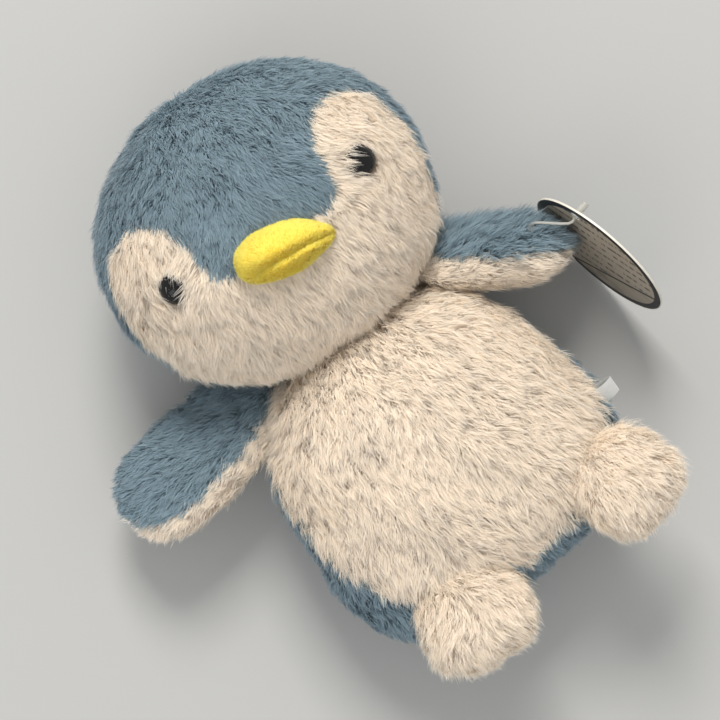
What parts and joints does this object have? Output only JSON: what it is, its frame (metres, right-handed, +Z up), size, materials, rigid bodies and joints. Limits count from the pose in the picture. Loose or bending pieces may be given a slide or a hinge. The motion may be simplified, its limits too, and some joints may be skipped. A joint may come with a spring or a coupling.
{
  "type": "plush penguin",
  "caption": "Soft toy penguin lying on its back, sewn from long-pile fabric over fibre filling, with safety eyes, padded beak, flippers, feet and a round swing tag.",
  "frame": {"origin": "middle of the bottom of the whole toy's box, where its back rests on a surface", "axes": "+Z up out of the belly and face, +Y from the feet to the crown, +X towards the side with the swing tag"},
  "size_m": [0.2056, 0.2342, 0.1021],
  "materials": {
    "blue_pile": "long clumped cut pile, slate blue",
    "cream_pile": "long clumped cut pile, warm cream",
    "yellow_velour": "short brushed pile, yellow",
    "fibre": "loose white polyester fibre, hidden",
    "black_plastic": "polished black moulded plastic",
    "clear_nylon": "milky translucent moulded nylon",
    "white_satin": "woven white satin ribbon",
    "tag_card": "coated card, dark border with a pale middle"
  },
  "bodies": {
    "torso": {"belly_panel": "cream_pile", "back_panel_left": "blue_pile", "back_panel_right": "blue_pile", "body_filling": "fibre", "care_label": "white_satin"},
    "neck": {"neck_filling": "fibre"},
    "head": {"head_cap": "blue_pile", "head_back": "blue_pile", "face_panel": "cream_pile", "head_filling": "fibre", "beak_upper": "yellow_velour", "beak_lower": "yellow_velour", "beak_filling": "fibre", "eye_left": "black_plastic", "eye_right": "black_plastic", "eye_washer_left": "clear_nylon", "eye_washer_right": "clear_nylon"},
    "wing_left": {"wing_left_outer": "blue_pile", "wing_left_inner": "cream_pile", "wing_left_filling": "fibre"},
    "wing_right": {"wing_right_outer": "blue_pile", "wing_right_inner": "cream_pile", "wing_right_filling": "fibre", "tag_pin": "clear_nylon"},
    "foot_left": {"foot_left_top": "cream_pile", "foot_left_sole": "cream_pile", "foot_left_filling": "fibre"},
    "foot_right": {"foot_right_top": "cream_pile", "foot_right_sole": "cream_pile", "foot_right_filling": "fibre"},
    "tag": {"swing_tag": "tag_card"}
  },
  "joints": [
    {"name": "neck_tilt", "type": "hinge", "parent": "torso", "child": "neck", "pos_m": [0.00289, 0.00647, 0.042], "axis": [0, 0, 1], "range_deg": [-5, 5], "stiffness_Nm_per_rad": 0.6},
    {"name": "neck_nod", "type": "hinge", "parent": "neck", "child": "head", "pos_m": [0.00289, 0.00647, 0.042], "axis": [1, 0, 0], "range_deg": [-2, 12], "stiffness_Nm_per_rad": 0.6},
    {"name": "wing_left_fold", "type": "hinge", "parent": "torso", "child": "wing_left", "pos_m": [-0.04689, -0.0028, 0.034], "axis": [0.6136, 0.7896, 0], "range_deg": [-5, 35], "stiffness_Nm_per_rad": 0.1},
    {"name": "wing_right_fold", "type": "hinge", "parent": "torso", "child": "wing_right", "pos_m": [0.05144, -0.00995, 0.034], "axis": [0.4815, -0.8764, 0], "range_deg": [-5, 35], "stiffness_Nm_per_rad": 0.1},
    {"name": "foot_left_bend", "type": "hinge", "parent": "torso", "child": "foot_left", "pos_m": [-0.02541, -0.08553, 0.052], "axis": [-1, 0, 0], "range_deg": [-10, 20], "stiffness_Nm_per_rad": 0.08},
    {"name": "foot_right_bend", "type": "hinge", "parent": "torso", "child": "foot_right", "pos_m": [0.04459, -0.08553, 0.052], "axis": [-1, 0, 0], "range_deg": [-10, 20], "stiffness_Nm_per_rad": 0.08},
    {"name": "tag_swing", "type": "hinge", "parent": "wing_right", "child": "tag", "pos_m": [0.09673, -0.0127, 0.04845], "axis": [-0.9732, -0.1281, 0.1908], "range_deg": [0, 50]}
  ]
}
